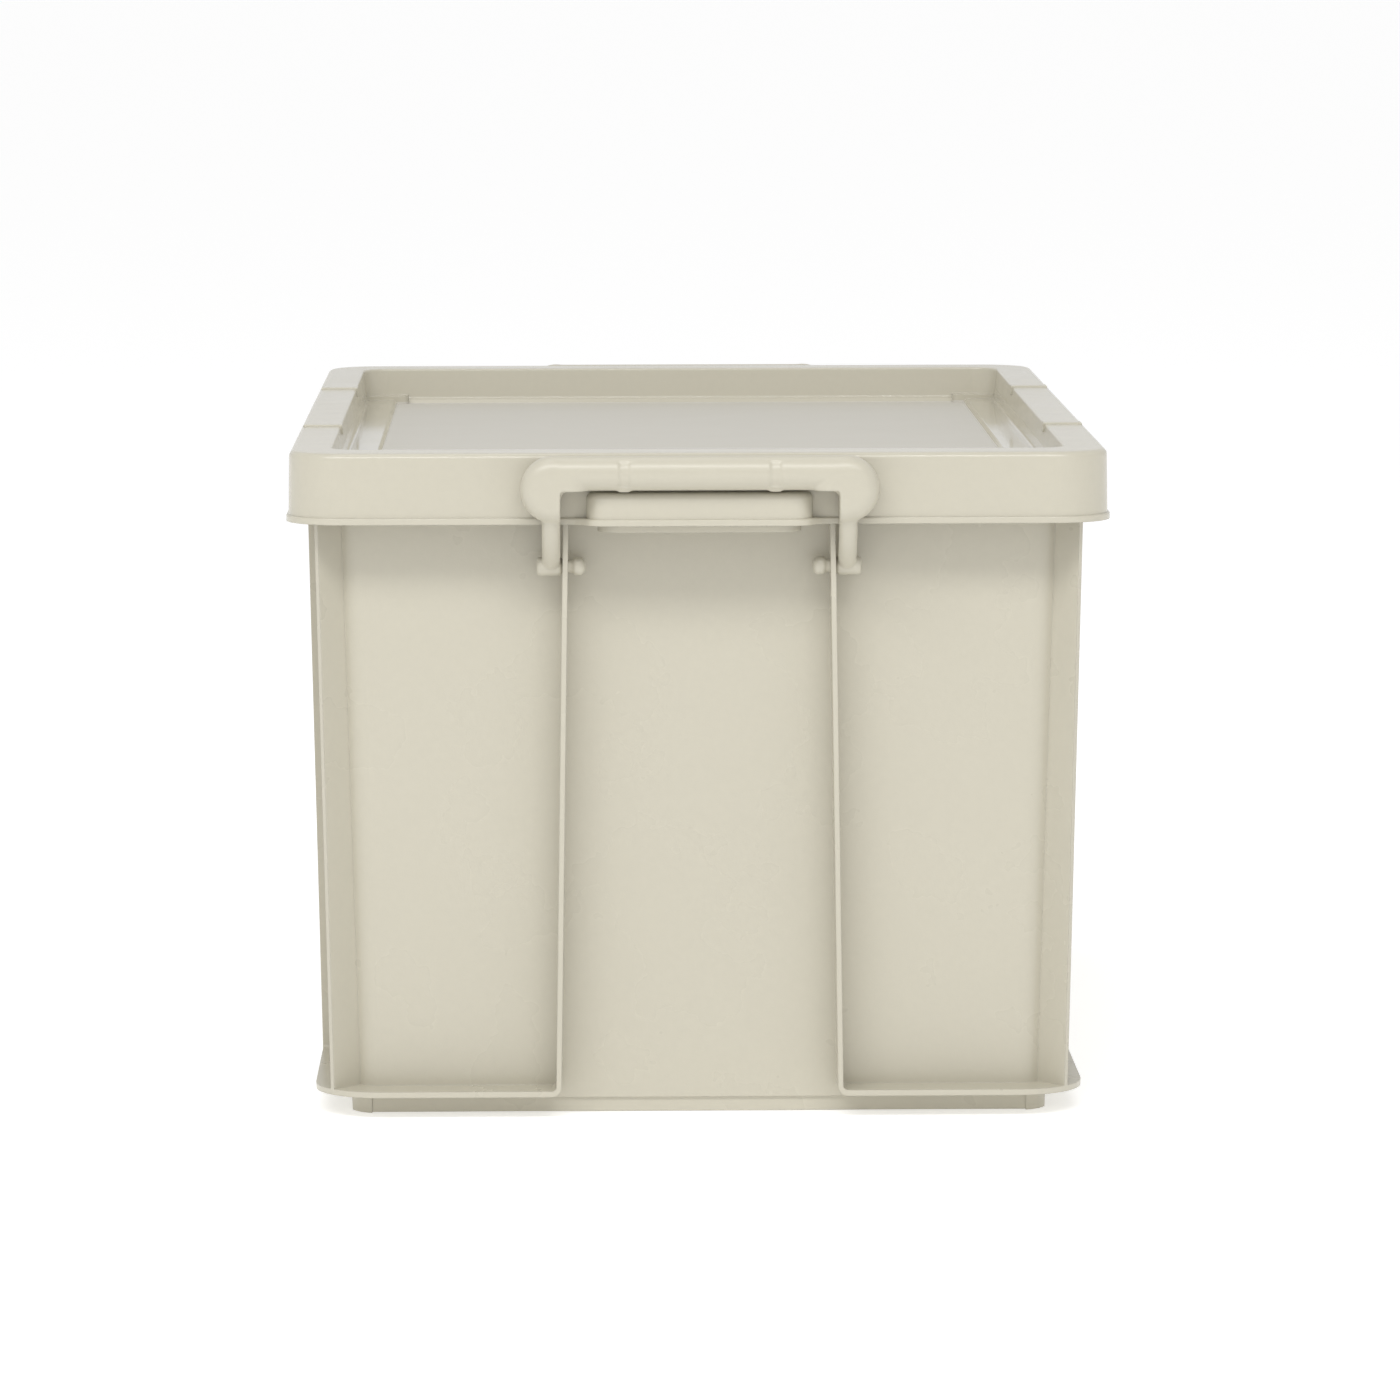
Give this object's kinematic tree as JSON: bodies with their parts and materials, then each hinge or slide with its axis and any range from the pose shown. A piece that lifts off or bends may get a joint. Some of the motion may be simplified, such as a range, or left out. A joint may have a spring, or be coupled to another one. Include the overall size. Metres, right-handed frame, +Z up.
{
  "type": "lidded storage box with locking bail handles",
  "caption": "Rectangular moulded plastic storage box with ribbed tapered walls, a recessed stacking lid and swing-up bail handles at both ends that lock the lid.",
  "frame": {"origin": "bottom centre of the box, on the surface that it stands on", "axes": "+Z up; +Y along the length, from the front handle end (-Y) to the rear handle end (+Y); +X across the width"},
  "size_m": [0.2974, 0.4684, 0.2437],
  "materials": {
    "bin_plastic": "fine-textured beige polypropylene",
    "lid_plastic": "satin beige polypropylene with a grained centre panel",
    "handle_plastic": "satin beige polypropylene"
  },
  "bodies": {
    "bin": {"bin": "bin_plastic"},
    "lid": {"lid": "lid_plastic"},
    "front_handle": {"front_handle": "handle_plastic"},
    "rear_handle": {"rear_handle": "handle_plastic"}
  },
  "joints": [
    {"name": "front_handle_swing", "type": "hinge", "parent": "bin", "child": "front_handle", "pos_m": [0, -0.2115, 0.2016], "axis": [1, 0, 0], "range_deg": [0, 133]},
    {"name": "rear_handle_swing", "type": "hinge", "parent": "bin", "child": "rear_handle", "pos_m": [0, 0.2115, 0.2016], "axis": [-1, 0, 0], "range_deg": [0, 133]},
    {"name": "lid_lift", "type": "slide", "parent": "bin", "child": "lid", "axis": [0, 0, 1], "range_m": [0, 0.25]}
  ]
}
